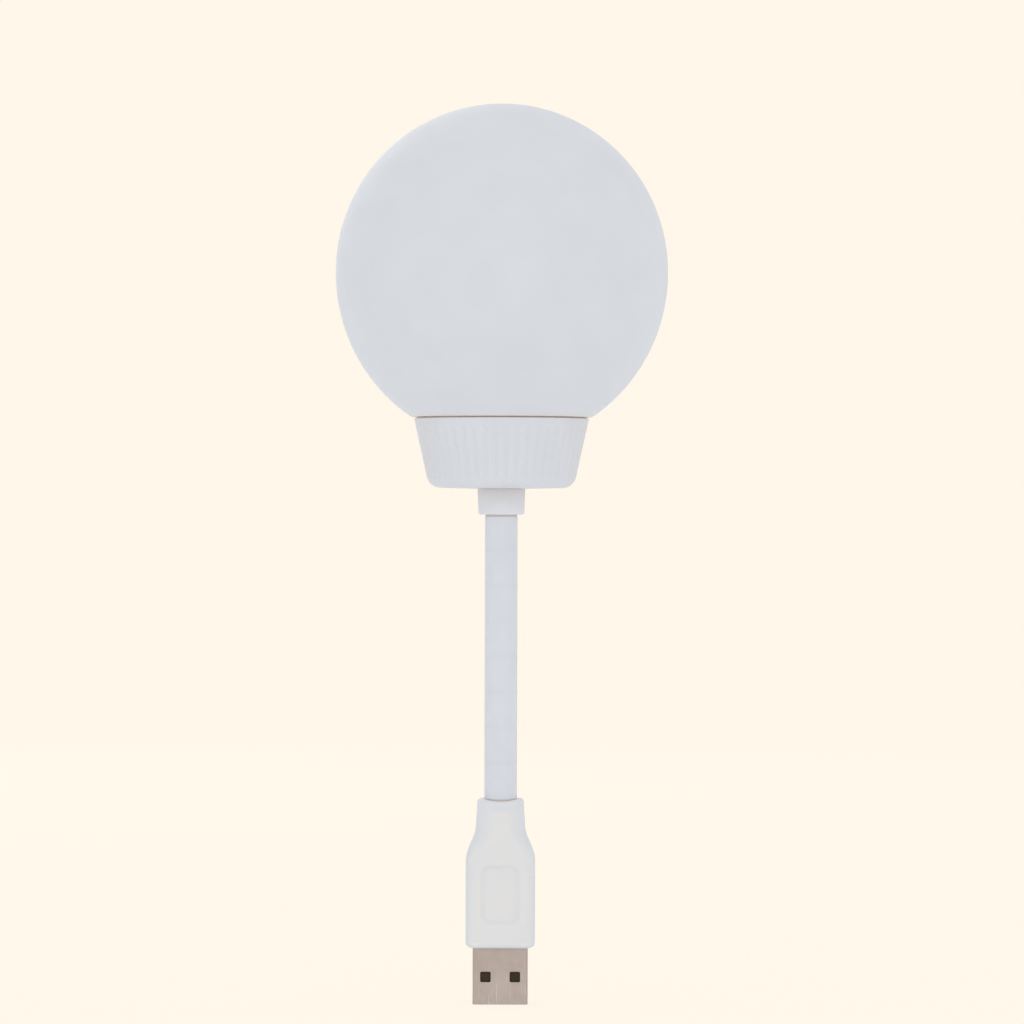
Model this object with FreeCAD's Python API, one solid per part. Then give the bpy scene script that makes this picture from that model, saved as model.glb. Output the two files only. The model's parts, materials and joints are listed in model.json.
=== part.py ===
import FreeCAD, Part
import math
import os

# USB globe lamp: a frosted globe on a fluted collar, a bendable neck and a USB-A plug.
# Millimetres. +Z runs from the plug to the globe, and the plug's broad faces look along Y.
# The origin is the centre of the plug's shoulder, where the metal shell leaves the moulding.

V = FreeCAD.Vector
ORIGIN = V(0, 0, 0)
UP = V(0, 0, 1)
TOUCH = 0.05          # clearance between pieces that slide together
SNUG = 0.02           # clearance between pieces pressed or screwed together

# ---- driving dimensions -------------------------------------------------------------------

# USB-A shell (standard plug)
SHELL_W = 12.0
SHELL_D = 4.5
SHELL_WALL = 0.3
SHELL_CORNER = 0.6
SHELL_OUT = 12.35     # length standing out of the moulding
SHELL_IN = 6.5        # length inside the moulding
WINDOW = 2.3          # side of a square latch window
WINDOW_CORNER = 0.35
WINDOW_X = 3.2
WINDOW_Z = -6.33
SEAM_GAP = 0.08       # the folded sheet's edges meet along the back

# insulator and contacts
TONGUE_D = 1.84
TONGUE_TIP = 0.45     # how far the tongue stops short of the shell's mouth
BLOCK_LOW = -1.0      # the rear block fills the shell from here
BLOCK_HIGH = 7.5
CONTACT_W = 1.0
CONTACT_T = 0.25
POWER_X = 3.5
DATA_X = 1.0
POWER_TIP = 1.2       # from the shell's mouth to the tip of an outer contact
DATA_TIP = 2.2
POWER_TAIL = 11.5
DATA_TAIL = 8.5
SOLDER_R = 0.85

# soft plug moulding and the hard moulding inside it
PLUG_W = 15.1
PLUG_D = 9.9
PLUG_CORNER = 3.0
PLUG_FACE_ROUND = 1.25
PLUG_WAIST = 18.9     # height where the straight body ends
PLUG_NECK = 26.2      # height where the slim neck begins
PLUG_TOP = 33.3       # before the mouth is scooped out
NECK_W_LOW = 10.8
NECK_W_TOP = 9.9
NECK_CORNER = 4.85
MOUTH_Z = 31.9        # the top is scooped down to here, from front to back
MOUTH_SCOOP_R = 12.5
MOUTH_ROUND = 0.9
SHOULDER_SECTIONS = 10
PANEL_W = 8.7         # thumb panel
PANEL_H = 13.1
PANEL_Z = 11.7
PANEL_DEPTH = 0.5
PANEL_CORNER = 2.2
PANEL_SLOPE = 1.0     # width of its sloping sides
PANEL_FILLET = 0.9
MOULD_W = 13.2
MOULD_D = 6.8
MOULD_CORNER = 1.2
MOULD_LOW = 1.2
MOULD_HIGH = 15.0
MOULD_COLLAR_R = 3.9

# neck, from the sleeve inwards
SLEEVE_R = 3.55
SLEEVE_BORE_R = 2.75
SLEEVE_LOW = 24.2
SLEEVE_HIGH = 99.0
COIL_R = 2.7
COIL_VALLEY_R = 2.45
COIL_BORE_R = 1.6
COIL_PITCH = 1.095
COIL_LOW = 18.0
COIL_HIGH = 105.0
CABLE_R = 1.3
CABLE_LOW = 14.6
CABLE_HIGH = 106.4
LEAD_R = 0.45
CORE_X = 0.6          # half the spacing of the two cores where they leave the cable
NECK_BASE = 32.6      # the neck bends from here up
NECK_TOP = 94.2       # where the neck enters the bush
NECK_JOINTS = 8
KNUCKLE_R = 4.2       # radius of the spherical ends that turn in each other
KNUCKLE_GAP = 0.1

# ferrules, nut and washer
CRIMP_R = 3.3
CRIMP_LOW = 17.6
CRIMP_HIGH = 24.1
CRIMP_FLANGE_R = 3.9
CRIMP_FLANGE_T = 1.2
CRIMP_GROOVE = 0.35
THREAD_R = 3.4
FLANGE_R = 4.5
FERRULE_LOW = 99.1
FERRULE_HIGH = 106.0
FERRULE_CHAMFER = 0.4
WASHER_R = 5.4
WASHER_T = 0.5
WASHER_TEETH = 8
NUT_T = 2.2
NUT_AF = 9.0          # across flats
NUT_CROWN_R = 4.75

# bush and collar
BUSH_TOP = 99.8
BUSH_R_TOP = 5.2
BUSH_R_LOW = 5.0
BUSH_ROUND = 0.5
COLLAR_BASE = 99.85
COLLAR_TOP = 115.17
COLLAR_R_TOP = 19.05
COLLAR_R_BASE = 15.7
COLLAR_ROUND = 3.1
COLLAR_RIM_CHAMFER = 0.12
COLLAR_WALL = 1.5
COLLAR_FLOOR = 1.8
FLOOR_CORNER = 1.0
UNDERSIDE_FLAT_R = 5.8
UNDERSIDE_RISE = 0.25 # the underside rises this much from the bush to the wall
FLUTES = 48
FLUTE_DEPTH = 0.12
FLUTE_TOOL_R = 1.5
FLUTE_LOW = 99.0
FLUTE_HIGH = 112.6
BOSSES = 3
BOSS_R = 2.4
BOSS_RING_R = 12.0
BOSS_TURN = 30        # degrees from +X to the first boss
RIB_HALF_T = 0.6
RIB_DROP = 2.5        # the rib's top lies this far below the board
SCREW_R = 0.85
SCREW_L = 5.0
SCREW_HEAD_R = 1.7
SCREW_HEAD_H = 0.9
SCREW_CROSS = 1.1
SCREW_CROSS_HALF_T = 0.18

# LED board and reflector
BOARD_Z = 109.2
BOARD_T = 1.2
BOARD_R = 14.3
PAD_X = 5.0           # where a lead meets the board
CHIP_L = 2.8
CHIP_W = 3.5
CHIP_H = 0.9
CHIP_CHAMFER = 0.3
LED_COUNT = 8
LED_RING_R = 8.3
RESISTORS = 3
RESISTOR_L = 3.2
RESISTOR_W = 1.6
RESISTOR_H = 0.6
RESISTOR_RING_R = 3.6
PLATE_RISE = 1.2      # the reflector stands this far above the board
PLATE_T = 0.8
PLATE_RIM_H = 2.2
PLATE_HUB_R = 1.5
PORT_MARGIN = 0.3

# globe
GLOBE_Z = 147.0       # height of the widest ring
GLOBE_R = 36.2
GLOBE_UP = 36.7       # widest ring to crown
GLOBE_DOWN = 37.6     # widest ring to the lower pole of its ellipse
GLOBE_WALL = 1.4
GLOBE_EDGE_W = 0.85   # bevel round the globe's lower edge
GLOBE_EDGE_H = 0.5
SEAM_Z = 115.47       # lower edge of the globe, a narrow gap above the collar's rim
SEAT_R = 18.4         # inside this the globe rests on the rim
SEAT_DRAFT = 0.08
SPIGOT_R = 15.9
SPIGOT_BORE_R = 14.55
SPIGOT_BASE = 110.2
LUGS = 3
LUG_PROUD = 0.5
LUG_ROOT = 0.3
LUG_HALF_W = 3.0
LUG_Z = 111.4
LUG_H = 1.2


# ---- helpers ------------------------------------------------------------------------------

def at(x, z):
    """A point of a profile in the XZ plane."""
    return V(x, 0, z)


def line(a, b):
    return Part.LineSegment(a, b).toShape()


def arc(a, through, b):
    return Part.Arc(a, through, b).toShape()


def polyline(points):
    return [line(a, b) for a, b in zip(points, points[1:])]


def revolved(edges):
    """A closed profile in the XZ plane, turned about Z."""
    face = Part.Face(Part.Wire(Part.__sortEdges__(edges)))
    return face.revolve(ORIGIN, UP, 360)


def turned(points):
    return revolved(polyline(points + points[:1]))


def rod(radius, low, high, x=0):
    return Part.makeCylinder(radius, high - low, V(x, 0, low))


def ring(r_in, r_out, low, high):
    return rod(r_out, low, high).cut(rod(r_in, low, high))


def block(x0, x1, y0, y1, z0, z1):
    return Part.makeBox(x1 - x0, y1 - y0, z1 - z0, V(x0, y0, z0))


def slab(x, length, width, low, high):
    """A box centred on the X axis at x."""
    return block(x - length / 2, x + length / 2, -width / 2, width / 2, low, high)


def round_rect(width, depth, radius, z):
    """A rounded rectangle at height z, as a wire of four arcs and four lines."""
    w, d = width / 2, depth / 2
    pulled_in = radius * (1 - math.sqrt(0.5))
    corners = []
    for sx, sy in ((1, 1), (-1, 1), (-1, -1), (1, -1)):
        on_side = V(sx * w, sy * (d - radius), z)
        middle = V(sx * (w - pulled_in), sy * (d - pulled_in), z)
        on_end = V(sx * (w - radius), sy * d, z)
        corners.append((on_side, middle, on_end) if sx == sy else (on_end, middle, on_side))
    edges = []
    for here, after in zip(corners, corners[1:] + corners[:1]):
        edges += [arc(*here), line(here[2], after[0])]
    return Part.Wire(edges)


def prism(width, depth, radius, low, high):
    return Part.Face(round_rect(width, depth, radius, low)).extrude(V(0, 0, high - low))


def edges_at(shape, z, min_radius=0.0):
    """The edges that lie flat at height z and reach past min_radius along X."""
    found = []
    for edge in shape.Edges:
        box = edge.BoundBox
        if max(abs(box.ZMin - z), abs(box.ZMax - z)) < TOUCH and box.XMax > min_radius:
            found.append(edge)
    return found


def around(shape, count, start=0.0):
    """Copies of a shape spaced evenly about Z."""
    copies = []
    for i in range(count):
        copy = shape.copy()
        copy.rotate(ORIGIN, UP, start + 360.0 * i / count)
        copies.append(copy)
    return copies


def cut_all(shape, tools):
    return shape.cut(Part.makeCompound(tools))


def lead(x0, x1, z0, z1):
    """A thin wire that leaves along Z at x0, runs across and arrives along Z at x1."""
    middle = (z0 + z1) / 2
    bend = abs(z1 - z0) * 0.45
    across = math.copysign(bend, x1 - x0)
    along = math.copysign(bend, z1 - z0)
    k = 1 - math.sqrt(0.5)
    first = (at(x0, middle - along), at(x0 + across * k, middle - along * k), at(x0 + across, middle))
    second = (at(x1 - across, middle), at(x1 - across * k, middle + along * k), at(x1, middle + along))
    path = Part.Wire([
        line(at(x0, z0), first[0]), arc(*first), line(first[2], second[0]),
        arc(*second), line(second[2], at(x1, z1)),
    ])
    section = Part.Wire(Part.makeCircle(LEAD_R, at(x0, z0), UP))
    return path.makePipeShell([section], True, True)


def save(name, shape):
    shape = shape.removeSplitter()
    if not shape.isValid() or not shape.Solids:
        raise ValueError(name + " is not a valid solid")
    shape.exportStep("parts/" + name + ".step")
    print(name, len(shape.Solids), "solids", round(shape.Volume, 2), "mm3")


# ---- neck ---------------------------------------------------------------------------------

def joint_height(joint):
    """Height of a neck joint, counted from 1 at the plug."""
    spacing = (NECK_TOP - NECK_BASE) / NECK_JOINTS
    return NECK_BASE + spacing * (joint - 0.5)


def knuckle_end(r_in, r_out, joint, knuckle):
    """The arc of a spherical end face about a joint, from r_in to r_out."""
    z = joint_height(joint)
    radii = (r_in, (r_in + r_out) / 2, r_out)
    return arc(*(at(r, z + math.sqrt(knuckle ** 2 - r ** 2)) for r in radii))


def stretch_ends(r_in, r_out, stretch, low, high):
    """Lower and upper end edges of a neck stretch. The first and the last have one flat end."""
    first, last = stretch == 1, stretch > NECK_JOINTS
    flat_low, flat_high = (line(at(r_in, z), at(r_out, z)) for z in (low, high))
    cup, dome = KNUCKLE_R + KNUCKLE_GAP / 2, KNUCKLE_R - KNUCKLE_GAP / 2
    bottom = flat_low if first else knuckle_end(r_in, r_out, stretch - 1, cup)
    top = flat_high if last else knuckle_end(r_in, r_out, stretch, dome)
    return bottom, top


def inner_and_outer(edge):
    return sorted((v.Point for v in edge.Vertexes), key=lambda p: p.x)


def neck_tube(r_in, r_out, stretch, low, high):
    """One stretch of a plain layer of the neck, the sleeve or the cable."""
    bottom, top = stretch_ends(r_in, r_out, stretch, low, high)
    sides = [line(a, b) for a, b in zip(inner_and_outer(bottom), inner_and_outer(top))]
    return revolved([bottom, top] + sides)


def neck_coil(stretch):
    """One stretch of the closely wound coil, with each turn as a ring joined to the next."""
    bottom, top = stretch_ends(COIL_BORE_R, COIL_VALLEY_R, stretch, COIL_LOW, COIL_HIGH)
    (in_low, out_low), (in_high, out_high) = inner_and_outer(bottom), inner_and_outer(top)
    length = out_high.z - out_low.z
    turns = round(length / COIL_PITCH)
    edges = [bottom, top, line(in_low, in_high)]
    for i in range(turns):
        low, crest, high = (out_low.z + length * (i + part) / turns for part in (0, 0.5, 1))
        edges.append(arc(at(COIL_VALLEY_R, low), at(COIL_R, crest), at(COIL_VALLEY_R, high)))
    return revolved(edges)


def crimped_ferrule():
    """Ferrule over the coil's lower end, with a flange that the moulding grips."""
    bore = COIL_R + TOUCH
    flange_top = CRIMP_LOW + CRIMP_FLANGE_T
    points = [
        at(bore, CRIMP_LOW), at(CRIMP_FLANGE_R, CRIMP_LOW),
        at(CRIMP_FLANGE_R, flange_top), at(CRIMP_R, flange_top),
    ]
    plain = CRIMP_HIGH - flange_top
    for z in (flange_top + plain * 0.25, flange_top + plain * 0.6):
        root = at(CRIMP_R - CRIMP_GROOVE, z + CRIMP_GROOVE)
        points += [at(CRIMP_R, z), root, at(CRIMP_R, z + 2 * CRIMP_GROOVE)]
    return turned(points + [at(CRIMP_R, CRIMP_HIGH), at(bore, CRIMP_HIGH)])


def make_neck():
    for stretch in range(1, NECK_JOINTS + 2):
        save(f"neck_sleeve_{stretch}", neck_tube(SLEEVE_BORE_R, SLEEVE_R, stretch, SLEEVE_LOW, SLEEVE_HIGH))
        save(f"neck_coil_{stretch}", neck_coil(stretch))
        save(f"neck_cable_{stretch}", neck_tube(0, CABLE_R, stretch, CABLE_LOW, CABLE_HIGH))
    save("neck_ferrule_bottom", crimped_ferrule())


# ---- plug ---------------------------------------------------------------------------------

def shell_space(low, high):
    """The space inside the shell's walls."""
    width, depth = SHELL_W - 2 * SHELL_WALL, SHELL_D - 2 * SHELL_WALL
    return prism(width, depth, SHELL_CORNER - SHELL_WALL, low, high)


def shell_blank():
    return prism(SHELL_W, SHELL_D, SHELL_CORNER, -SHELL_OUT, SHELL_IN)


def usb_shell():
    """Folded sheet shell, with latch windows in both broad faces and its seam at the back."""
    blank = shell_blank()
    blank = blank.makeFillet(SHELL_WALL / 2, edges_at(blank, -SHELL_OUT))
    tools = [shell_space(-SHELL_OUT, SHELL_IN)]
    for x in (-WINDOW_X, WINDOW_X):
        window = prism(WINDOW, WINDOW, WINDOW_CORNER, -SHELL_D, SHELL_D)
        window.rotate(ORIGIN, V(1, 0, 0), 90)
        window.translate(V(x, 0, WINDOW_Z))
        tools.append(window)
    tools.append(block(-SEAM_GAP / 2, SEAM_GAP / 2, 0, SHELL_D, -SHELL_OUT, SHELL_IN))
    for tool in tools:
        blank = blank.cut(tool)
    return blank


def contact(x, tip, tail):
    """A straight strip contact with a bevelled nose."""
    low = tip - SHELL_OUT
    strip = block(x - CONTACT_W / 2, x + CONTACT_W / 2, -CONTACT_T, 0, low, tail)
    nose = [e for e in edges_at(strip, low, x) if e.BoundBox.YMin > -TOUCH]
    return strip.makeChamfer(CONTACT_T / 2, nose)


def usb_insulator(contacts):
    """Tongue behind the shell's front face, and a rear block that fills the shell."""
    half_w, half_d = SHELL_W / 2 - SHELL_WALL, SHELL_D / 2 - SHELL_WALL
    tongue_w = half_w - SHELL_CORNER / 2
    tip = TONGUE_TIP - SHELL_OUT
    tongue = block(-tongue_w, tongue_w, SNUG - half_d, TONGUE_D - half_d, tip, BLOCK_LOW)
    corner = SHELL_CORNER - SHELL_WALL
    rear = prism(2 * (half_w - SNUG), 2 * (half_d - SNUG), corner, BLOCK_LOW, BLOCK_HIGH)
    return cut_all(tongue.fuse(rear), contacts)


def solder_joint(x, wire, tail):
    blob = Part.makeSphere(SOLDER_R, V(x, -CONTACT_T / 2, POWER_TAIL))
    return blob.cut(wire).cut(tail)


def plug_section(z):
    """Width, depth and corner radius of the moulding at height z above the waist."""
    neck_w = NECK_W_LOW + (NECK_W_TOP - NECK_W_LOW) * (z - PLUG_NECK) / (PLUG_TOP - PLUG_NECK)
    t = min(1.0, (z - PLUG_WAIST) / (PLUG_NECK - PLUG_WAIST))
    t = t * t * (3 - 2 * t)
    return PLUG_W + (neck_w - PLUG_W) * t, PLUG_D, PLUG_CORNER + (NECK_CORNER - PLUG_CORNER) * t


def plug_envelope():
    """Outer shape of the moulding: a straight body and a shoulder that narrows to the neck."""
    body = prism(PLUG_W, PLUG_D, PLUG_CORNER, 0, PLUG_WAIST)
    body = body.makeFillet(PLUG_FACE_ROUND, edges_at(body, 0))
    rise = (PLUG_TOP - PLUG_WAIST) / SHOULDER_SECTIONS
    heights = [PLUG_WAIST + rise * i for i in range(SHOULDER_SECTIONS + 1)]
    shoulder = Part.makeLoft([round_rect(*plug_section(z), z) for z in heights], True, False)
    scoop = Part.makeCylinder(MOUTH_SCOOP_R, 2 * PLUG_D, V(0, -PLUG_D, MOUTH_Z + MOUTH_SCOOP_R), V(0, 1, 0))
    shoulder = shoulder.cut(scoop)
    lip = [edge for edge in shoulder.Edges if edge.BoundBox.ZMin > MOUTH_Z - TOUCH]
    return body.fuse(shoulder.makeFillet(MOUTH_ROUND, lip))


def thumb_panels():
    """Shallow rounded recesses with sloping sides, in the front and back of the body."""
    inset = 2 * PANEL_SLOPE
    floor = round_rect(PANEL_W - inset, PANEL_H - inset, PANEL_CORNER - PANEL_SLOPE, 0)
    mouth = round_rect(PANEL_W, PANEL_H, PANEL_CORNER, PANEL_DEPTH)
    panel = Part.makeLoft([floor, mouth], True, True)
    panel = panel.makeFillet(PANEL_FILLET, edges_at(panel, 0))
    panel.rotate(ORIGIN, V(1, 0, 0), 90)
    panel.translate(V(0, PANEL_DEPTH - PLUG_D / 2, PANEL_Z))
    return around(panel, 2)


def mould_blank():
    """The hard inner moulding before anything is taken out of it."""
    blank = prism(MOULD_W, MOULD_D, MOULD_CORNER, MOULD_LOW, MOULD_HIGH)
    return blank.fuse(rod(MOULD_COLLAR_R, MOULD_HIGH, CRIMP_LOW))


def make_plug():
    power = contact(POWER_X, POWER_TIP, POWER_TAIL)
    ground = contact(-POWER_X, POWER_TIP, POWER_TAIL)
    data = [contact(x, DATA_TIP, DATA_TAIL) for x in (-DATA_X, DATA_X)]
    red = lead(CORE_X, POWER_X, CABLE_LOW, POWER_TAIL)
    black = lead(-CORE_X, -POWER_X, CABLE_LOW, POWER_TAIL)
    joints = [solder_joint(POWER_X, red, power), solder_joint(-POWER_X, black, ground)]
    held = [power, ground] + data + [red, black]
    inner = mould_blank()
    for tool in (shell_blank(), shell_space(BLOCK_LOW, BLOCK_HIGH), rod(CABLE_R, CABLE_LOW, CRIMP_LOW)):
        inner = inner.cut(tool)
    inner = cut_all(cut_all(inner, held), joints)
    ferrule = crimped_ferrule()
    outer = plug_envelope()
    for tool in (mould_blank(), shell_blank(), rod(SLEEVE_R, CRIMP_HIGH, PLUG_TOP),
                 rod(SLEEVE_R + TOUCH, MOUTH_Z - MOUTH_ROUND, PLUG_TOP), ferrule,
                 rod(COIL_R + TOUCH, CRIMP_LOW, CRIMP_HIGH)):
        outer = outer.cut(tool)
    outer = cut_all(outer, thumb_panels())

    save("usb_shell", usb_shell())
    save("usb_insulator", usb_insulator([power, ground] + data))
    save("contact_power", power)
    save("contact_ground", ground)
    save("contacts_data", Part.makeCompound(data))
    save("plug_lead_red", red)
    save("plug_lead_black", black)
    save("solder_joints", Part.makeCompound(joints))
    save("plug_inner_mould", inner)
    save("plug_overmould", outer)


# ---- collar and its fastenings ------------------------------------------------------------

def neck_bush():
    """Strain relief under the collar, slightly tapered, with a seat for the ferrule's flange."""
    bore, seat = SLEEVE_R + TOUCH, FLANGE_R + TOUCH
    bush = turned([
        at(bore, NECK_TOP), at(BUSH_R_LOW, NECK_TOP), at(BUSH_R_TOP, BUSH_TOP), at(seat, BUSH_TOP),
        at(seat, FERRULE_LOW), at(bore, FERRULE_LOW),
    ])
    return bush.makeFillet(BUSH_ROUND, edges_at(bush, NECK_TOP, BUSH_R_LOW - TOUCH))


def threaded_ferrule():
    bore, flange_top = COIL_R + TOUCH, COLLAR_BASE - SNUG
    return turned([
        at(bore, FERRULE_LOW), at(FLANGE_R, FERRULE_LOW), at(FLANGE_R, flange_top), at(THREAD_R, flange_top),
        at(THREAD_R, FERRULE_HIGH - FERRULE_CHAMFER), at(THREAD_R - FERRULE_CHAMFER, FERRULE_HIGH),
        at(bore, FERRULE_HIGH),
    ])


def ferrule_nut():
    """Hexagon nut with its corners turned off."""
    low = COLLAR_BASE + COLLAR_FLOOR + WASHER_T
    high = low + NUT_T
    r = NUT_AF / math.sqrt(3)
    angles = [math.radians(60 * i) for i in range(7)]
    outline = Part.makePolygon([V(r * math.cos(a), r * math.sin(a), low) for a in angles])
    blank = Part.Face(outline).extrude(V(0, 0, NUT_T))
    cone = NUT_CROWN_R + FERRULE_CHAMFER
    crown = turned([
        at(0, low), at(NUT_CROWN_R, low), at(cone, low + FERRULE_CHAMFER), at(cone, high - FERRULE_CHAMFER),
        at(NUT_CROWN_R, high), at(0, high),
    ])
    return blank.common(crown).cut(rod(THREAD_R + SNUG, low, high))


def lock_washer():
    """Washer with teeth left between notches round its bore."""
    low = COLLAR_BASE + COLLAR_FLOOR
    high = low + WASHER_T
    notch = slab((THREAD_R + WASHER_R) / 2 - 0.4, WASHER_R - THREAD_R - 0.8, 0.7, low, high)
    return cut_all(ring(THREAD_R + TOUCH, WASHER_R, low, high), around(notch, WASHER_TEETH))


COLLAR_SLOPE = (COLLAR_R_TOP - COLLAR_R_BASE) / (COLLAR_TOP - COLLAR_BASE)


def collar_radius(z):
    """Outer radius of the collar's tapered wall at height z."""
    return COLLAR_R_BASE + COLLAR_SLOPE * (z - COLLAR_BASE)


def collar_outside():
    under = COLLAR_BASE + UNDERSIDE_RISE
    rim = COLLAR_TOP - COLLAR_RIM_CHAMFER
    outside = turned([
        at(0, COLLAR_BASE), at(UNDERSIDE_FLAT_R, COLLAR_BASE), at(collar_radius(under), under),
        at(collar_radius(rim), rim), at(COLLAR_R_TOP - COLLAR_RIM_CHAMFER, COLLAR_TOP), at(0, COLLAR_TOP),
    ])
    return outside.makeFillet(COLLAR_ROUND, edges_at(outside, under, COLLAR_R_BASE))


def collar_hollow():
    """Space inside the collar: a tapered well under a straight mouth for the spigot."""
    floor, ledge = COLLAR_BASE + COLLAR_FLOOR, SPIGOT_BASE - 2 * TOUCH
    low_r, ledge_r = (collar_radius(z) - COLLAR_WALL for z in (floor, ledge))
    mouth = SPIGOT_R + TOUCH
    return turned([
        at(0, floor), at(low_r - FLOOR_CORNER, floor), at(low_r, floor + FLOOR_CORNER), at(ledge_r, ledge),
        at(mouth, ledge), at(mouth, COLLAR_TOP), at(0, COLLAR_TOP),
    ])


def flute():
    """A shallow round-bottomed groove down the collar's wall, fading out below the rim."""
    lean = math.atan(COLLAR_SLOPE)
    length = (FLUTE_HIGH - FLUTE_LOW) / math.cos(lean)
    tool = Part.makeCylinder(FLUTE_TOOL_R, length).fuse(Part.makeSphere(FLUTE_TOOL_R, V(0, 0, length)))
    tool.rotate(ORIGIN, V(0, 1, 0), math.degrees(lean))
    tool.translate(V(collar_radius(FLUTE_LOW) + (FLUTE_TOOL_R - FLUTE_DEPTH) / math.cos(lean), 0, FLUTE_LOW))
    return tool


def lamp_collar():
    """Tapered fluted housing with a floor, screw bosses and a groove for the globe's lugs."""
    floor = COLLAR_BASE + COLLAR_FLOOR
    collar = collar_outside().cut(collar_hollow())
    boss = rod(BOSS_R, floor, BOARD_Z, BOSS_RING_R)
    rib_end = collar_radius(floor) - COLLAR_WALL / 2
    rib = block(BOSS_RING_R, rib_end, -RIB_HALF_T, RIB_HALF_T, floor, BOARD_Z - RIB_DROP)
    pilot = rod(SCREW_R, BOARD_Z - SCREW_L, BOARD_Z, BOSS_RING_R)
    collar = collar.fuse(around(boss.fuse(rib), BOSSES, BOSS_TURN))
    collar = cut_all(collar, around(pilot, BOSSES, BOSS_TURN))
    collar = collar.cut(rod(THREAD_R + TOUCH, COLLAR_BASE, floor))
    groove_r = SPIGOT_R + LUG_PROUD + 2 * TOUCH
    collar = collar.cut(ring(SPIGOT_R, groove_r, LUG_Z - TOUCH, LUG_Z + LUG_H + TOUCH))
    return cut_all(collar, around(flute(), FLUTES, 180.0 / FLUTES))


# ---- globe, board and reflector -----------------------------------------------------------

def ellipse_arc(radius, height, from_pole, to_equator=90.0):
    """Part of an upright ellipse about the globe's centre, by angle from its pole.
    A negative height gives the lower pole."""
    pole, side = at(0, GLOBE_Z + height), at(radius, GLOBE_Z)
    curve = Part.Ellipse(pole, side, at(0, GLOBE_Z))
    return curve.toShape(math.radians(from_pole), math.radians(to_equator))


def angle_at(z, down):
    """Angle from the lower pole at which an ellipse reaching down from the widest ring is at z."""
    return math.degrees(math.acos((GLOBE_Z - z) / down))


def globe_diffuser():
    """Hollow globe with a straight spigot and three lugs that turn into the collar's groove."""
    rim_z, shoulder_z = SEAM_Z + GLOBE_EDGE_H, SEAM_Z + GLOBE_WALL
    inner_r, inner_down = GLOBE_R - GLOBE_WALL, GLOBE_DOWN - GLOBE_WALL
    rim_t, shoulder_t = angle_at(rim_z, GLOBE_DOWN), angle_at(shoulder_z, inner_down)
    rim_r = GLOBE_R * math.sin(math.radians(rim_t))
    shoulder_r = inner_r * math.sin(math.radians(shoulder_t))
    crown = GLOBE_Z + GLOBE_UP
    edges = [
        ellipse_arc(GLOBE_R, GLOBE_UP, 0), ellipse_arc(GLOBE_R, -GLOBE_DOWN, rim_t),
        ellipse_arc(inner_r, GLOBE_UP - GLOBE_WALL, 0), ellipse_arc(inner_r, -inner_down, shoulder_t),
        line(at(0, crown - GLOBE_WALL), at(0, crown)),
    ]
    edges += polyline([
        at(rim_r, rim_z), at(rim_r - GLOBE_EDGE_W, SEAM_Z), at(SEAT_R + SEAT_DRAFT, SEAM_Z),
        at(SEAT_R, COLLAR_TOP), at(SPIGOT_R, COLLAR_TOP), at(SPIGOT_R, SPIGOT_BASE),
        at(SPIGOT_BORE_R, SPIGOT_BASE), at(SPIGOT_BORE_R, shoulder_z), at(shoulder_r, shoulder_z),
    ])
    lug = ring(SPIGOT_R - LUG_ROOT, SPIGOT_R + LUG_PROUD, LUG_Z, LUG_Z + LUG_H)
    lug = lug.common(block(0, GLOBE_R, -LUG_HALF_W, LUG_HALF_W, LUG_Z, LUG_Z + LUG_H))
    return revolved(edges).fuse(around(lug, LUGS, BOSS_TURN))


def led_board():
    hole = rod(SCREW_R + PORT_MARGIN, BOARD_Z, BOARD_Z + BOARD_T, BOSS_RING_R)
    return cut_all(rod(BOARD_R, BOARD_Z, BOARD_Z + BOARD_T), around(hole, BOSSES, BOSS_TURN))


def led_chips():
    low, high = BOARD_Z + BOARD_T, BOARD_Z + BOARD_T + CHIP_H
    chip = slab(LED_RING_R, CHIP_L, CHIP_W, low, high)
    chip = chip.makeChamfer(CHIP_CHAMFER, edges_at(chip, high))
    return Part.makeCompound(around(chip, LED_COUNT))


def led_resistors():
    low = BOARD_Z + BOARD_T
    resistor = slab(RESISTOR_RING_R, RESISTOR_L, RESISTOR_W, low, low + RESISTOR_H)
    return Part.makeCompound(around(resistor, RESISTORS, 90))


def reflector_plate():
    """White dish on a thin skirt over the board, with a port for each LED."""
    foot = BOARD_Z + BOARD_T
    low = foot + PLATE_RISE
    high, rim = low + PLATE_T, low + PLATE_RIM_H
    rim_r, skirt_r = SPIGOT_BORE_R - 2 * TOUCH, BOARD_R - TOUCH
    skirt_in, rim_in = skirt_r - PLATE_T / 2, rim_r - PLATE_T
    plate = turned([
        at(PLATE_HUB_R, low), at(skirt_in, low), at(skirt_in, foot), at(skirt_r, foot),
        at(skirt_r, low), at(rim_r, low), at(rim_r, rim), at(rim_in, rim),
        at(rim_in - PORT_MARGIN, high), at(PLATE_HUB_R, high),
    ])
    port = slab(LED_RING_R, CHIP_L + 2 * PORT_MARGIN, CHIP_W + 2 * PORT_MARGIN, low, high)
    return cut_all(plate, around(port, LED_COUNT))


def board_screws():
    """Pan-head screws with a cross recess."""
    seat = BOARD_Z + BOARD_T
    top = seat + SCREW_HEAD_H
    shank = rod(SCREW_R - SNUG, seat - SCREW_L, seat, BOSS_RING_R)
    head = rod(SCREW_HEAD_R, seat, top, BOSS_RING_R)
    head = head.makeFillet(SCREW_HEAD_H / 2, edges_at(head, top))
    sizes = ((SCREW_CROSS, SCREW_CROSS_HALF_T), (SCREW_CROSS_HALF_T, SCREW_CROSS))
    cross = [slab(BOSS_RING_R, 2 * a, 2 * b, top - SCREW_HEAD_H / 2, top) for a, b in sizes]
    screw = cut_all(shank.fuse(head), cross)
    return Part.makeCompound(around(screw, BOSSES, BOSS_TURN))


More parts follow.
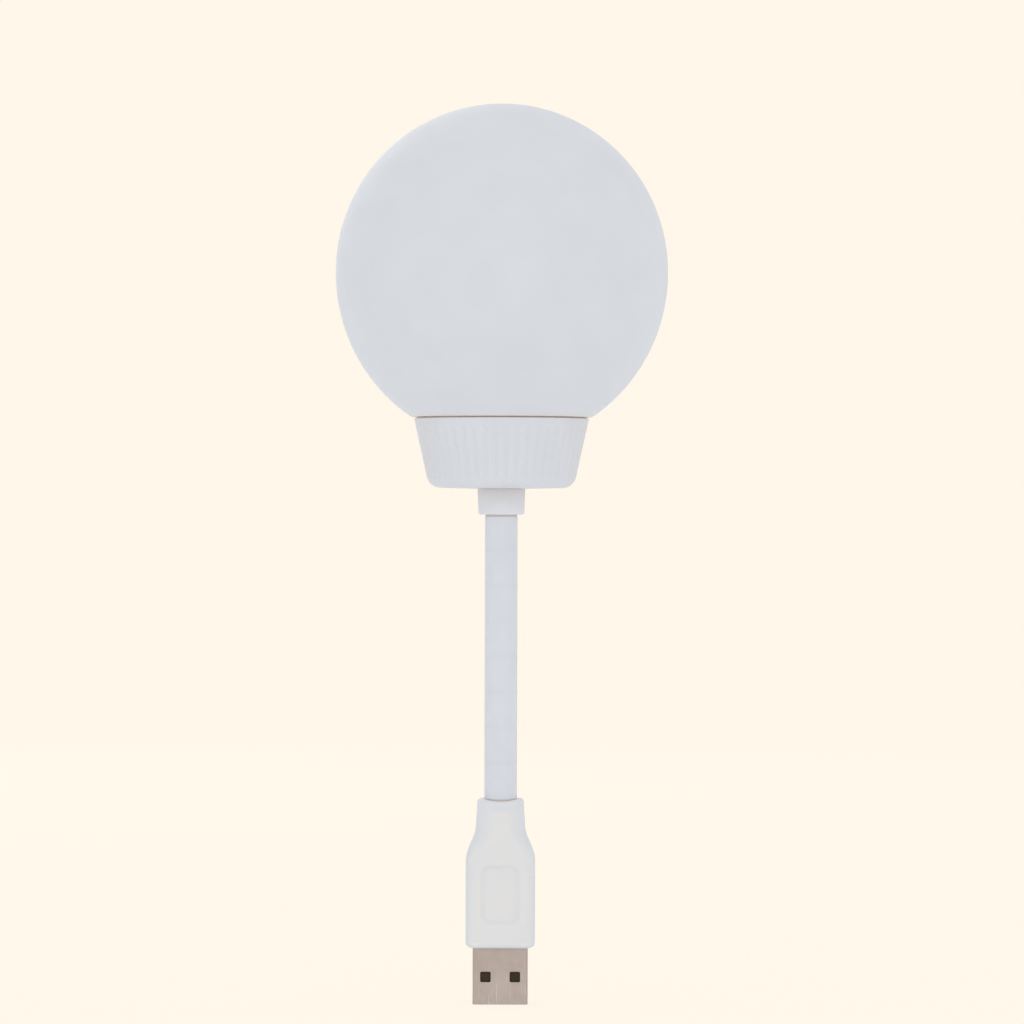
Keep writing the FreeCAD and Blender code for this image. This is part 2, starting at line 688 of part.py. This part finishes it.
def make_head():
    save("globe_diffuser", globe_diffuser())
    save("lamp_collar", lamp_collar())
    save("neck_bush", neck_bush())
    save("neck_ferrule_top", threaded_ferrule())
    save("lock_washer", lock_washer())
    save("ferrule_nut", ferrule_nut())
    save("led_board", led_board())
    save("led_chips", led_chips())
    save("led_resistors", led_resistors())
    save("reflector_plate", reflector_plate())
    save("board_screws", board_screws())
    save("head_lead_red", lead(CORE_X, PAD_X, CABLE_HIGH, BOARD_Z))
    save("head_lead_black", lead(-CORE_X, -PAD_X, CABLE_HIGH, BOARD_Z))


os.makedirs("parts", exist_ok=True)
make_plug()
make_neck()
make_head()
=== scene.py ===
import json
import math

import bmesh
import bpy
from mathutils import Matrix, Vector


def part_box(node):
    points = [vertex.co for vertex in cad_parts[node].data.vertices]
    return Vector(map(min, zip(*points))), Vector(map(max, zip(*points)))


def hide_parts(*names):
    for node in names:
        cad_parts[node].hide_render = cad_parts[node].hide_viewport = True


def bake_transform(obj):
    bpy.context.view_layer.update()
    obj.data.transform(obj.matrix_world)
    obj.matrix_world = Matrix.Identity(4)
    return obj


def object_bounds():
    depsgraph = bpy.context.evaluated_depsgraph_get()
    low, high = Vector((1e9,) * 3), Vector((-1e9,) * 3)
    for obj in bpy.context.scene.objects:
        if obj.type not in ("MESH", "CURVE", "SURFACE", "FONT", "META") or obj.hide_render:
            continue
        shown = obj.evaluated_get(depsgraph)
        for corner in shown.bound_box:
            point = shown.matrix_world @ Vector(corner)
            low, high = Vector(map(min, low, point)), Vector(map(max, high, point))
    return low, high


# Looks for the USB globe lamp. Metres, in the CAD frame: +Z runs from the plug to the globe and
# the plug's broad faces look along Y.

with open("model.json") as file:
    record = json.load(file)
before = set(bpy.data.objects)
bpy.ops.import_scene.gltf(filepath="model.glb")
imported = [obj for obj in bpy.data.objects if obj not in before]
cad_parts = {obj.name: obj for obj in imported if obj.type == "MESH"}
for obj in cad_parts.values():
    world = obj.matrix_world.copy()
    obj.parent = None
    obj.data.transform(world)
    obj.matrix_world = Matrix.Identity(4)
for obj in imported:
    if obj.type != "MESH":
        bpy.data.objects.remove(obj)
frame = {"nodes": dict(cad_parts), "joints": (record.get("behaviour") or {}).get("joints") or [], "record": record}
cad_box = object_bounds()
scene = bpy.context.scene
MM = 0.001

# ---- sizes --------------------------------------------------------------------------------

SLEEVE_R = 3.55 * MM
SLEEVE_BORE_R = 2.88 * MM
SLEEVE_SIDES = 72
SLEEVE_RINGS = 22           # rings along one neck section
SLEEVE_CREASE = 35          # degrees; sharper edges than this are shaded as edges
WAIST_DEPTH = 0.11 * MM     # the sleeve is pinched a little where it enters the plug and the bush
WAIST_H = 0.5 * MM
WAIST_RINGS = 10            # rings over the height of a waist
MOUTH_DROP = 0.68 * MM      # from the plug's highest point to the bottom of its scooped mouth

FLUTES = 48                 # round the collar; the first is centred half a step from +X
FLUTES_BELOW_RIM = 1.9 * MM
FLUTES_ABOVE_BASE = 1.4 * MM
COLLAR_SIDE_X = 13.2 * MM   # from here outwards the collar's two sides get a painted shade
PLUG_RIM_H = 2.5 * MM       # the part of the plug round the neck, which gets a painted shade
PANEL_EDGE_X = 4.5 * MM     # just outside the thumb panel
SHELL_END_Z = -12.3 * MM
SHELL_RUBBED_Z = -3.0 * MM  # a port rubs the shell from its end to here, less and less
SHELL_HIGHLIGHT_Z = -8.3 * MM    # middle of the painted highlight on the shell's faces

CAMERA_LENS = 200.0
CAMERA_SENSOR = 36.0
VIEW_WIDTH = 223.1 * MM     # width of the view at the lamp's axis
VIEW_X = 2.32 * MM          # the view's centre
VIEW_Z = 94.8 * MM
VIEW_ROLL = -0.15           # degrees; the lamp leans very slightly to the right in the view

FLOOR_R = 1.9               # the floor is flat to here, then sweeps up into the wall
SWEEP_R = 0.9
SWEEP_STEPS = 16
WALL_TOP = 3.2
BACKDROP_SIDES = 96
CREAM_PAPER = (0.14, 0.131, 0.12)
CREAM_GLOW = (1.0, 0.92, 0.806)
CREAM_STRENGTH = 0.886
STUDIO_GLOW = (0.95, 0.975, 1.0)
STUDIO_LOW = 0.935          # how bright the surroundings are at the floor
STUDIO_HIGH = 0.865         # and from this height above it up:
STUDIO_FADE_H = 1.2
LIGHT_COLOR = (0.97, 0.985, 1.0)
LIGHT_TARGET = (0, 0, 0.1)
LIGHTS = (                  # name, place, diameter, power in watts
    ("key", (0.25, -1.15, 0.5), 0.7, 1.5),
    ("fill", (-0.9, -0.6, 0.3), 0.8, 0.4),
    ("top", (0.1, 0.15, 1.25), 0.8, 0.2),
    ("back", (-0.35, 1.15, 0.6), 0.7, 1.1),
)

# ---- materials ----------------------------------------------------------------------------

# Warm colours of painted shade: along the globe's seam, at the bush's top under the collar, and at the sleeve's
# mouths.
SEAM_SHADE = (0.86, 0.71, 0.59)
BUSH_TOP_SHADE = (0.76, 0.60, 0.48)
SLEEVE_MOUTH_SHADE = (0.72, 0.54, 0.42)


class Finish:
    """A Principled material with a few procedural layers over object coordinates."""

    def __init__(self, name, color, roughness, **sockets):
        self.material = bpy.data.materials.new(name)
        self.material.use_nodes = True
        self.tree = self.material.node_tree
        self.shader = self.tree.nodes["Principled BSDF"]
        self.color = color
        self.set("Base Color", (*color, 1))
        self.set("Roughness", roughness)
        for socket, value in sockets.items():
            self.set(socket.replace("_", " "), value)
        self.coordinates = self.node("ShaderNodeTexCoord").outputs["Object"]
        self.normal = None

    def node(self, kind, **properties):
        node = self.tree.nodes.new(kind)
        for key, value in properties.items():
            setattr(node, key, value)
        return node

    def link(self, output, target):
        self.tree.links.new(output, target)

    def set(self, socket, value):
        self.shader.inputs[socket].default_value = value

    def use_attribute(self, name):
        """Textures follow a stored point attribute, so that they stay on a piece that bends."""
        self.coordinates = self.node("ShaderNodeAttribute", attribute_name=name).outputs["Vector"]

    def texture(self, kind, location, scale):
        """A texture node over the coordinates, moved and scaled."""
        mapping = self.node("ShaderNodeMapping")
        mapping.inputs["Location"].default_value = location
        mapping.inputs["Scale"].default_value = scale
        texture = self.node(kind)
        texture.inputs["Scale"].default_value = 1.0
        self.link(self.coordinates, mapping.inputs["Vector"])
        self.link(mapping.outputs["Vector"], texture.inputs["Vector"])
        return texture

    def noise(self, size, detail=3.0, stretch=(1, 1, 1), roughness=0.5, offset=0.0):
        """Noise with features of about that size in metres, drawn out along an axis by stretch."""
        location = (offset, offset * 0.7, offset * 0.3)
        scale = tuple(1 / (size * s) for s in stretch)
        texture = self.texture("ShaderNodeTexNoise", location, scale)
        texture.inputs["Detail"].default_value = detail
        texture.inputs["Roughness"].default_value = roughness
        return texture.outputs["Fac"]

    def cells(self, size):
        """Distance to the nearest of points scattered about that far apart."""
        return self.texture("ShaderNodeTexVoronoi", (0, 0, 0), (1 / size,) * 3).outputs["Distance"]

    def axis(self, letter):
        """One coordinate, in metres."""
        split = self.node("ShaderNodeSeparateXYZ")
        self.link(self.coordinates, split.inputs["Vector"])
        return split.outputs[letter]

    def away(self, letter, place=0.0):
        """Distance from a place along one axis, in metres."""
        return self.math("ABSOLUTE", self.math("SUBTRACT", self.axis(letter), place))

    def facing(self, letter):
        """How squarely the surface faces along one of the object's axes, 1 on a face square to it."""
        split = self.node("ShaderNodeSeparateXYZ")
        self.link(self.node("ShaderNodeTexCoord").outputs["Normal"], split.inputs["Vector"])
        return self.math("ABSOLUTE", split.outputs[letter])

    def ramp(self, value, low, high, to_low=0.0, to_high=1.0):
        """Maps low..high to to_low..to_high, level outside. Low may be the larger of the two."""
        node = self.node("ShaderNodeMapRange", clamp=True)
        self.link(value, node.inputs["Value"])
        numbers = {"From Min": low, "From Max": high, "To Min": to_low, "To Max": to_high}
        for socket, number in numbers.items():
            node.inputs[socket].default_value = number
        return node.outputs["Result"]

    def math(self, operation, a, b=0.0):
        node = self.node("ShaderNodeMath", operation=operation)
        for socket, value in zip(node.inputs, (a, b)):
            if isinstance(value, (int, float)):
                socket.default_value = value
            else:
                self.link(value, socket)
        return node.outputs["Value"]

    def tint(self, mask, color):
        """Mixes a second colour into the base where the mask is 1."""
        mix = self.node("ShaderNodeMix", data_type="RGBA")
        target = self.shader.inputs["Base Color"]
        if target.is_linked:
            self.link(target.links[0].from_socket, mix.inputs["A"])
        else:
            mix.inputs["A"].default_value = (*self.color, 1)
        mix.inputs["B"].default_value = (*color, 1)
        self.link(mask, mix.inputs["Factor"])
        self.link(mix.outputs["Result"], target)

    def painted_shade(self, unshaded_z, shaded_z, strength, color):
        """A warm painted shade that grows from one height to another, broken up by fine noise."""
        height = self.ramp(self.axis("Z"), unshaded_z, shaded_z)
        specks = self.ramp(self.noise(0.5 * MM, 4.0, offset=9.0), 0.3, 0.7, 0.7 * strength, strength)
        self.tint(self.math("MULTIPLY", self.math("POWER", height, 1.6), specks), color)

    def vary_roughness(self, value, low, high):
        self.link(self.ramp(value, 0.3, 0.7, low, high), self.shader.inputs["Roughness"])

    def bump(self, height, depth, strength=1.0):
        """Relief of that depth in metres. Layers add up."""
        node = self.node("ShaderNodeBump")
        node.inputs["Distance"].default_value = depth
        node.inputs["Strength"].default_value = strength
        self.link(height, node.inputs["Height"])
        if self.normal:
            self.link(self.normal, node.inputs["Normal"])
        self.normal = node.outputs["Normal"]
        self.link(self.normal, self.shader.inputs["Normal"])


def scatter(weight, reach):
    """Shader values for white plastic that light soaks into evenly."""
    return {"Subsurface_Weight": weight, "Subsurface_Scale": reach,
            "Subsurface_Radius": (1.0, 1.0, 1.0)}


def moulded(name, color, shade, roughness, grain, depth, **sockets):
    """Moulded plastic or rubber: faint mottling, satin grain and slightly uneven gloss."""
    f = Finish(name, color, roughness, **sockets)
    f.tint(f.ramp(f.noise(9 * MM, 2.0), 0.35, 0.75), shade)
    f.vary_roughness(f.noise(2.4 * MM, 4.0), roughness - 0.05, roughness + 0.06)
    f.bump(f.noise(grain, 4.0, roughness=0.6), depth)
    f.bump(f.noise(6 * MM, 1.0, offset=3.0), depth * 4, 0.5)
    return f


def metal(name, color, shade, roughness, stretch=(1, 1, 1)):
    """Plated or drawn metal: fine drawn lines, tarnish and uneven polish."""
    f = Finish(name, color, roughness, Metallic=1.0)
    lines = f.noise(0.16 * MM, 3.0, stretch)
    f.tint(f.ramp(f.noise(2.2 * MM, 5.0, offset=1.3), 0.42, 0.72), shade)
    f.vary_roughness(lines, roughness - 0.08, roughness + 0.1)
    f.bump(lines, 0.004 * MM)
    return f


def globe_finish():
    """Frosted white, with a warm painted shade along the seam over the collar."""
    f = moulded("frosted_globe", (0.741, 0.742, 0.762), (0.723, 0.724, 0.746), 0.52, 0.16 * MM,
                0.006 * MM, **scatter(0.5, 2.8 * MM), Specular_IOR_Level=0.42, Sheen_Weight=0.05)
    f.bump(f.noise(0.9 * MM, 3.0, offset=5.0), 0.008 * MM, 0.6)
    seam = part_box("lamp_collar")[1].z
    # warm painted shade on the globe's edge along the seam over the collar
    f.painted_shade(seam + 1.2 * MM, seam + 0.3 * MM, 0.6, SEAM_SHADE)
    return f


def bush_finish():
    """The bush is a lighter copy of the collar's white, painted light against the shade the collar casts on it. A
    warm painted shade grows down from its top, under the collar.
    """
    # lighter copy of the collar's white: painted light against the collar's shade
    f = moulded("bush_white", (0.765, 0.762, 0.778), (0.735, 0.733, 0.752), 0.44, 0.2 * MM,
                0.008 * MM, **scatter(0.12, 1.2 * MM))
    low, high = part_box("neck_bush")
    # warm painted shade at the bush's top, under the collar
    f.painted_shade(low.z + 1.2 * MM, high.z, 0.45, BUSH_TOP_SHADE)
    return f


def collar_finish():
    """Moulded white, with a painted shade down in its flutes and a warmer painted shade on its two sides along X.
    """
    f = moulded("moulded_white", (0.718, 0.72, 0.741), (0.693, 0.695, 0.716), 0.42, 0.22 * MM,
                0.006 * MM, **scatter(0.12, 1.2 * MM))
    base, rim = (corner.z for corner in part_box("lamp_collar"))
    turn = f.math("ARCTAN2", f.axis("Y"), f.axis("X"))
    wave = f.math("COSINE", f.math("MULTIPLY", turn, FLUTES))
    flute_shade = f.ramp(wave, -1.0, 0.4, 1.0, 0.0)
    flutes_end = rim - FLUTES_BELOW_RIM
    below_rim = f.ramp(f.axis("Z"), flutes_end - 0.6 * MM, flutes_end, 1.0, 0.0)
    flutes_start = base + FLUTES_ABOVE_BASE
    above_base = f.ramp(f.axis("Z"), flutes_start, flutes_start + 1.4 * MM)
    on_wall = f.math("MULTIPLY", below_rim, above_base)
    # painted shade down in the flutes
    f.tint(f.math("MULTIPLY", flute_shade, on_wall), (0.70, 0.702, 0.723))
    # warmer painted shade on the collar's two sides along X
    side_shade = f.ramp(f.away("X"), COLLAR_SIDE_X, COLLAR_SIDE_X + 2.4 * MM, 0.0, 0.9)
    f.tint(side_shade, (0.704, 0.688, 0.698))
    # warm painted shade on the rim under the globe's seam
    f.painted_shade(rim - 0.15 * MM, rim, 0.7, SEAM_SHADE)
    return f


def plug_finish():
    """Soft plug moulding with painted shade: its slopes, the rim round the neck and the thumb panel's sloping
    walls are painted duller and cooler than its flat faces. A parting line runs down its narrow sides."""
    f = moulded("plug_elastomer", (0.785, 0.758, 0.733), (0.76, 0.742, 0.728), 0.5, 0.3 * MM,
                0.012 * MM, **scatter(0.2, 1.5 * MM))
    square = f.facing("Y")
    # painted shade on the slopes that turn away from Y
    f.tint(f.ramp(square, 0.5, 0.8, 1.0, 0.0), (0.718, 0.724, 0.735))
    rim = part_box("plug_overmould")[1].z - PLUG_RIM_H
    # painted shade on the rim round the neck
    f.tint(f.ramp(f.axis("Z"), rim - 0.5 * MM, rim), (0.73, 0.722, 0.728))
    # painted shade on the thumb panel's sloping walls
    on_panel = f.ramp(f.away("X"), PANEL_EDGE_X, PANEL_EDGE_X + 0.4 * MM, 1.0, 0.0)
    panel_wall_shade = f.ramp(square, 0.86, 0.98, 0.8, 0.0)
    f.tint(f.math("MULTIPLY", panel_wall_shade, on_panel), (0.738, 0.735, 0.738))
    f.bump(f.ramp(f.away("Y"), 0.03 * MM, 0.09 * MM, 1.0, 0.0), 0.03 * MM)
    return f


def sleeve_mouths():
    """Where the sleeve enters the plug and the bush: each mouth's height, and the way out along Z."""
    plug_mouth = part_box("plug_overmould")[1].z - MOUTH_DROP
    bush_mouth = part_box("neck_bush")[0].z
    return (plug_mouth, 1), (bush_mouth, -1)


def sleeve_finish():
    """Soft silicone, drawn along the neck, with a warm painted shade at both mouths."""
    f = Finish("sleeve_silicone", (0.715, 0.721, 0.745), 0.46, **scatter(0.15, 1.2 * MM))
    f.use_attribute("rest_place")
    f.tint(f.ramp(f.noise(7 * MM, 2.0), 0.35, 0.75), (0.692, 0.699, 0.725))
    f.vary_roughness(f.noise(1.8 * MM, 4.0), 0.42, 0.53)
    # warm painted shade where the sleeve goes into the plug and the bush
    for mouth, outward in sleeve_mouths():
        f.painted_shade(mouth + outward * 0.6 * MM, mouth + outward * 0.15 * MM, 0.8, SLEEVE_MOUTH_SHADE)
    f.bump(f.noise(0.35 * MM, 3.0, (1, 1, 14)), 0.006 * MM)
    f.bump(f.noise(0.14 * MM, 3.0), 0.005 * MM)
    return f


def shell_finish():
    """Nickel plate with a painted highlight in the middle of its faces, rubbed along Z by the ports it slides
    into.
    """
    f = Finish("nickel_shell", (0.515, 0.418, 0.358), 0.36, Metallic=1.0)
    drawn = f.noise(0.12 * MM, 3.0, (1, 1, 40))
    cloudy = f.noise(2.0 * MM, 4.0, offset=2.0)
    streaks = f.ramp(f.noise(0.2 * MM, 4.0, (1, 1, 26), offset=7.0), 0.6, 0.68)
    reach = f.ramp(f.axis("Z"), SHELL_END_Z, SHELL_RUBBED_Z, 1.0, 0.15)
    rubbed = f.math("MULTIPLY", streaks, reach)
    # painted highlight in the middle of the shell's faces
    across = f.ramp(f.away("X"), 0.6 * MM, 3.2 * MM, 1.0, 0.0)
    along = f.ramp(f.away("Z", SHELL_HIGHLIGHT_Z), 0.6 * MM, 2.8 * MM, 1.0, 0.0)
    f.tint(f.ramp(cloudy, 0.4, 0.75), (0.468, 0.381, 0.33))
    f.tint(f.math("MULTIPLY", across, along), (0.538, 0.443, 0.388))
    f.tint(rubbed, (0.66, 0.58, 0.53))
    f.vary_roughness(drawn, 0.28, 0.46)
    f.bump(drawn, 0.003 * MM)
    f.bump(rubbed, 0.004 * MM, 0.6)
    return f


def board_finish():
    """White solder mask over faint print-through."""
    f = moulded("board_white", (0.80, 0.81, 0.80), (0.74, 0.76, 0.74), 0.34, 0.25 * MM, 0.006 * MM)
    f.bump(f.cells(1.6 * MM), 0.01 * MM, 0.4)
    return f


def finishes():
    """Material slot of the record to its finish."""
    return {
        "frosted_plastic": globe_finish(),
        "white_plastic": collar_finish(),
        "white_silicone": sleeve_finish(),
        "plug_elastomer": plug_finish(),
        "nickel_steel": shell_finish(),
        "board_white": board_finish(),
        "natural_plastic": moulded(
            "natural_plastic", (0.78, 0.75, 0.66), (0.72, 0.69, 0.6), 0.45, 0.3 * MM, 0.01 * MM,
            Subsurface_Weight=0.2, Subsurface_Scale=1.5 * MM),
        "black_plastic": moulded(
            "black_insulator", (0.04, 0.026, 0.015), (0.05, 0.034, 0.02), 0.6, 0.2 * MM, 0.008 * MM,
            Specular_IOR_Level=0.12),
        "grey_jacket": moulded(
            "grey_jacket", (0.22, 0.22, 0.23), (0.18, 0.18, 0.19), 0.5, 0.3 * MM, 0.01 * MM),
        "red_insulation": moulded(
            "red_insulation", (0.52, 0.03, 0.025), (0.42, 0.02, 0.02), 0.4, 0.3 * MM, 0.01 * MM),
        "black_insulation": moulded(
            "black_insulation", (0.02, 0.02, 0.022), (0.03, 0.03, 0.032), 0.4, 0.3 * MM, 0.01 * MM),
        "led_phosphor": moulded(
            "led_phosphor", (0.86, 0.63, 0.12), (0.80, 0.55, 0.08), 0.38, 0.12 * MM, 0.01 * MM),
        "resistor_black": moulded(
            "resistor_black", (0.03, 0.03, 0.034), (0.05, 0.05, 0.054), 0.36, 0.2 * MM, 0.008 * MM),
        "gold_contact": metal("gold_contact", (0.90, 0.66, 0.28), (0.78, 0.54, 0.2), 0.24, (1, 1, 20)),
        "plated_steel": metal("plated_steel", (0.60, 0.59, 0.57), (0.48, 0.47, 0.45), 0.34, (1, 1, 6)),
        "spring_steel": metal("spring_steel", (0.46, 0.46, 0.47), (0.33, 0.33, 0.345), 0.3, (1, 1, 0.5)),
        "solder": metal("solder", (0.62, 0.62, 0.63), (0.5, 0.5, 0.52), 0.3),
    }


def dress(piece, finish):
    piece.data.materials.clear()
    piece.data.materials.append(finish.material)


def dress_nodes(slots):
    """Gives every CAD node the finish of its material slot in the record, and the bush its own."""
    for row in frame["record"]["subparts"]:
        dress(frame["nodes"][row["node"]], slots[row["material_slot"]])
    dress(frame["nodes"]["neck_bush"], bush_finish())


# ---- turned meshes ------------------------------------------------------------------------

def circle(bm, radius, z, sides):
    """A ring of new points round the Z axis."""
    turns = [2 * math.pi * i / sides for i in range(sides)]
    return [bm.verts.new((radius * math.cos(a), radius * math.sin(a), z)) for a in turns]


def join_rings(bm, here, after):
    """A smooth band of faces from one ring to the next."""
    for i in range(len(here)):
        k = (i + 1) % len(here)
        bm.faces.new((here[i], here[k], after[k], after[i])).smooth = True


def make_piece(name, bm):
    """An object in the scene from a finished bmesh."""
    mesh = bpy.data.meshes.new(name)
    bm.to_mesh(mesh)
    bm.free()
    piece = bpy.data.objects.new(name, mesh)
    scene.collection.objects.link(piece)
    return piece


# ---- neck sleeve --------------------------------------------------------------------------

def tube(name, profile):
    """A closed turned tube from (outer radius, z) rings. The bore is plain and the ends are square."""
    bm = bmesh.new()
    outer = [circle(bm, radius, z, SLEEVE_SIDES) for radius, z in profile]
    inner = [circle(bm, SLEEVE_BORE_R, z, SLEEVE_SIDES) for _, z in profile]
    rings = outer + inner[::-1]
    for here, after in zip(rings, rings[1:] + rings[:1]):
        join_rings(bm, here, after)
    bm.normal_update()
    for edge in bm.edges:
        if edge.calc_face_angle() > math.radians(SLEEVE_CREASE):
            edge.smooth = False
    place = bm.verts.layers.float_vector.new("rest_place")
    for vert in bm.verts:
        vert[place] = vert.co
    return make_piece(name, bm)


def pinch_at(z, mouth, outward):
    """How far the sleeve is pinched in at height z: most inside a mouth, and less and less outside."""
    t = (z - mouth) * outward / WAIST_H
    if t >= 1:
        return 0.0
    if t < 0.5:
        return WAIST_DEPTH
    return WAIST_DEPTH * (0.5 + 0.5 * math.cos(2 * math.pi * (t - 0.5)))


def sleeve_heights(low, high, mouths):
    """Heights of the rings of one section, closer together at the plug and the bush."""
    heights = {low + (high - low) * i / SLEEVE_RINGS for i in range(SLEEVE_RINGS + 1)}
    for mouth, outward in mouths:
        heights |= {mouth + outward * WAIST_H * i / WAIST_RINGS for i in range(-2, WAIST_RINGS + 2)}
    return sorted(h for h in heights if low <= h <= high)


def make_sleeve(finish):
    """The one-piece sleeve, cut where the links are stiff, one part for each joint."""
    joints = frame["joints"]
    levels = [joint["pos_m"][2] for joint in joints]
    half_step = (levels[1] - levels[0]) / 2
    mouths = sleeve_mouths()
    hidden_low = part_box("neck_sleeve_1")[0].z
    hidden_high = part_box(f"neck_sleeve_{len(joints) + 1}")[1].z
    for number, (joint, level) in enumerate(zip(joints, levels), 1):
        start, end = level - half_step, level + half_step
        low = hidden_low if number == 1 else start
        high = hidden_high if number == len(joints) else end
        profile = []
        for z in sleeve_heights(low, high, mouths):
            pinch = sum(pinch_at(z, *mouth) for mouth in mouths)
            profile.append((SLEEVE_R - pinch, z))
        piece = tube(f"sleeve_{number}", profile)
        dress(piece, finish)
        stands_for = [f"neck_sleeve_{number}"]
        if number == len(joints):
            stands_for.append(f"neck_sleeve_{number + 1}")
        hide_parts(*stands_for)
        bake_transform(piece)


# ---- stage, light and camera --------------------------------------------------------------

def backdrop_finish(floor_z):
    """Warm paper for the camera. The lamp itself sees a cooler, even glow in its place."""
    f = Finish("backdrop", CREAM_PAPER, 0.9, Emission_Color=(*CREAM_GLOW, 1),
               Emission_Strength=CREAM_STRENGTH, Specular_IOR_Level=0.0)
    glow = f.node("ShaderNodeEmission")
    glow.inputs["Color"].default_value = (*STUDIO_GLOW, 1)
    brightness = f.ramp(f.axis("Z"), floor_z, floor_z + STUDIO_FADE_H, STUDIO_LOW, STUDIO_HIGH)
    f.link(brightness, glow.inputs["Strength"])
    seen = f.node("ShaderNodeMixShader")
    f.link(f.node("ShaderNodeLightPath").outputs["Is Camera Ray"], seen.inputs["Fac"])
    f.link(glow.outputs["Emission"], seen.inputs[1])
    f.link(f.shader.outputs["BSDF"], seen.inputs[2])
    f.link(seen.outputs["Shader"], f.tree.nodes["Material Output"].inputs["Surface"])
    return f


def make_backdrop(floor_z):
    """A round floor that sweeps up into a wall, the same from every side."""
    profile = [(FLOOR_R / 2, 0.0), (FLOOR_R, 0.0)]
    for i in range(1, SWEEP_STEPS + 1):
        a = math.radians(90 * i / SWEEP_STEPS)
        profile.append((FLOOR_R + SWEEP_R * math.sin(a), SWEEP_R * (1 - math.cos(a))))
    profile.append((FLOOR_R + SWEEP_R, WALL_TOP))
    bm = bmesh.new()
    rings = [circle(bm, radius, floor_z + height, BACKDROP_SIDES) for radius, height in profile]
    centre = bm.verts.new((0, 0, floor_z))
    for i in range(BACKDROP_SIDES):
        bm.faces.new((centre, rings[0][i], rings[0][(i + 1) % BACKDROP_SIDES])).smooth = True
    for here, after in zip(rings, rings[1:]):
        join_rings(bm, after, here)
    backdrop = make_piece("backdrop", bm)
    dress(backdrop, backdrop_finish(floor_z))


def make_lights():
    """Four soft round lights and an even glow from all round."""
    world = bpy.data.worlds.new("studio")
    world.use_nodes = True
    background = world.node_tree.nodes["Background"]
    background.inputs["Color"].default_value = (*STUDIO_GLOW, 1)
    background.inputs["Strength"].default_value = STUDIO_HIGH
    scene.world = world
    for name, place, diameter, power in LIGHTS:
        data = bpy.data.lights.new(name, "AREA")
        data.shape = "DISK"
        data.size = diameter
        data.energy = power
        data.color = LIGHT_COLOR
        light = bpy.data.objects.new(name, data)
        light.location = place
        towards = Vector(LIGHT_TARGET) - Vector(place)
        light.rotation_euler = towards.to_track_quat("-Z", "Y").to_euler()
        light.visible_camera = False
        scene.collection.objects.link(light)


def make_camera():
    data = bpy.data.cameras.new("camera")
    data.lens = CAMERA_LENS
    data.sensor_width = CAMERA_SENSOR
    camera = bpy.data.objects.new("camera", data)
    distance = VIEW_WIDTH * CAMERA_LENS / CAMERA_SENSOR
    camera.location = (VIEW_X, -distance, VIEW_Z)
    camera.rotation_euler = (math.radians(90), math.radians(VIEW_ROLL), 0)
    scene.collection.objects.link(camera)
    scene.camera = camera


# ---- build --------------------------------------------------------------------------------

make_camera()
slots = finishes()
dress_nodes(slots)
make_sleeve(slots["white_silicone"])
make_backdrop(cad_box[0].z)
make_lights()
scene.view_settings.view_transform = "Standard"
scene.view_settings.look = "None"
